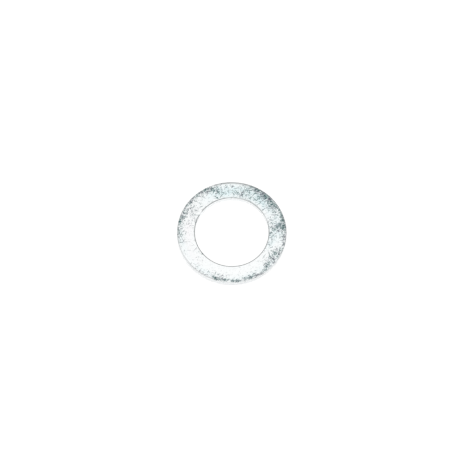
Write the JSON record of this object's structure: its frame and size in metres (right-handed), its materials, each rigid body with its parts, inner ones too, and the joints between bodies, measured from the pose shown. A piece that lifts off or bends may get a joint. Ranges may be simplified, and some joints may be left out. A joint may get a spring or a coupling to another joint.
{
  "type": "shim ring",
  "caption": "Flat zinc-plated steel ring that slides on a shaft and takes up end play, with die-rolled edges on one face.",
  "frame": {"origin": "on the ring's axis, in the plane of the lower face, the one with the tumbled corners", "axes": "+Z along the axis of the bore, out of the upper face, the one with the die roll; X and Y lie in the plane of the ring"},
  "size_m": [0.018, 0.018, 0.001],
  "materials": {
    "zinc_plate": "tumbled steel with bright zinc plating and a clear blue-green passivate, finely scuffed and darker towards the rim"
  },
  "bodies": {
    "root": {"shim_ring": "zinc_plate"}
  },
  "joints": []
}
